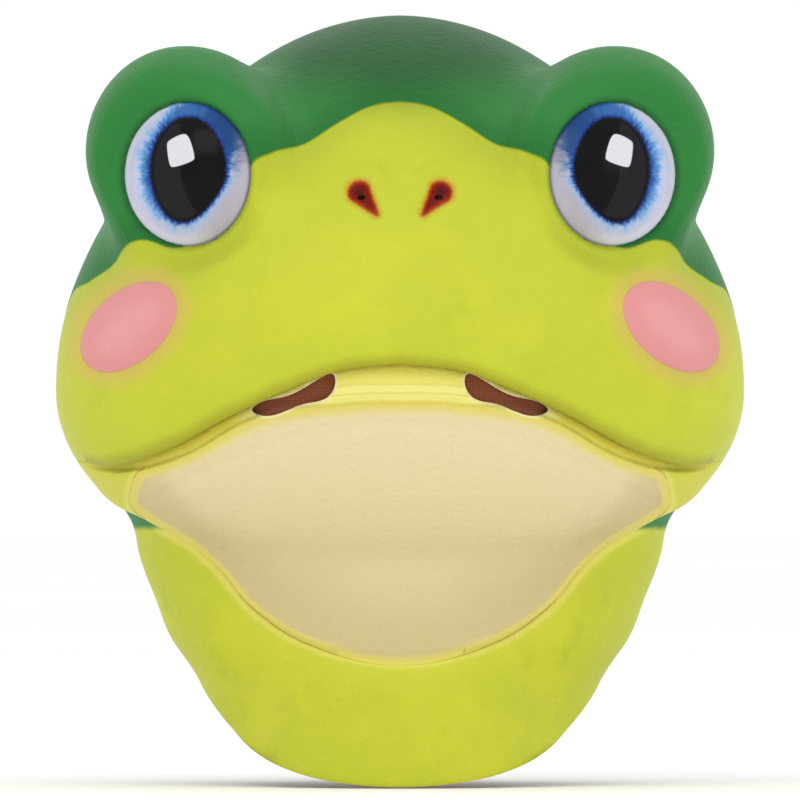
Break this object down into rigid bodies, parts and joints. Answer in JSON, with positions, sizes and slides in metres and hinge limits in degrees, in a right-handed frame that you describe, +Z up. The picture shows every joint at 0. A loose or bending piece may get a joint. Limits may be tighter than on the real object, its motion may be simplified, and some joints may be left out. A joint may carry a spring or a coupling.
{
  "type": "frog head mask",
  "caption": "Full-head latex frog mask with bulging painted eyes, rosy cheek ovals, see-through mouth slots, flexing jaw and a slit neck.",
  "frame": {"origin": "centre of the neck opening, at the level of the lowest front rim of the collar", "axes": "+Z up towards the crown, the face looks along -Y, +X to the viewer's right"},
  "size_m": [0.2744, 0.2632, 0.3077],
  "materials": {
    "hood_latex": "green painted latex",
    "face_latex": "lime yellow painted latex",
    "nape_latex": "lime painted latex",
    "cheek_latex": "rose airbrushed latex",
    "eye_lens": "clear vacuum-formed lens",
    "eye_print": "blue iris, white and black pupil paint",
    "eye_cup": "dark green moulded cup",
    "foam": "open-cell foam, self skin",
    "elastic": "woven elastic",
    "raw_latex": "unpainted latex",
    "jaw_latex": "cream painted latex",
    "collar_latex": "lime yellow painted latex",
    "gauze": "brown polyester mesh",
    "slider": "moulded acetal"
  },
  "bodies": {
    "head": {"hood_shell": "hood_latex", "face_shell": "face_latex", "nape_shell": "nape_latex", "cheek_patch_left": "cheek_latex", "cheek_patch_right": "cheek_latex", "eye_dome_left": "eye_lens", "eye_dome_right": "eye_lens", "eye_print_left": "eye_print", "eye_print_right": "eye_print", "eye_cup_left": "eye_cup", "eye_cup_right": "eye_cup", "crown_pad": "foam", "brow_pad": "foam", "side_pad_left": "foam", "side_pad_right": "foam", "head_strap": "elastic", "strap_anchor_left": "raw_latex", "strap_anchor_right": "raw_latex", "slit_patch": "raw_latex"},
    "jaw": {"jaw_shell": "jaw_latex", "collar_front": "collar_latex", "chin_pad": "foam", "vision_gauze_left": "gauze", "vision_gauze_right": "gauze"},
    "flap_left": {"neck_flap_left": "nape_latex"},
    "flap_right": {"neck_flap_right": "nape_latex"},
    "slider": {"strap_slider": "slider"}
  },
  "joints": [
    {"name": "jaw_flex", "type": "hinge", "parent": "head", "child": "jaw", "pos_m": [0, -0.002, 0.119], "axis": [1, 0, 0], "range_deg": [0, 6], "stiffness_Nm_per_rad": 4, "springref_deg": -3.44},
    {"name": "flap_right_flex", "type": "hinge", "parent": "head", "child": "flap_right", "pos_m": [0.00101, 0.10373, 0.10476], "axis": [0.5967, -0.3251, -0.7336], "range_deg": [0, 30], "stiffness_Nm_per_rad": 0.2, "springref_deg": -8.59},
    {"name": "flap_left_flex", "type": "hinge", "parent": "head", "child": "flap_left", "pos_m": [-0.00101, 0.10373, 0.10476], "axis": [0.5967, 0.3251, 0.7336], "range_deg": [0, 30], "stiffness_Nm_per_rad": 0.2, "springref_deg": -8.59},
    {"name": "strap_slide", "type": "slide", "parent": "head", "child": "slider", "axis": [1, 0, 0], "range_m": [-0.018, 0.018]}
  ]
}
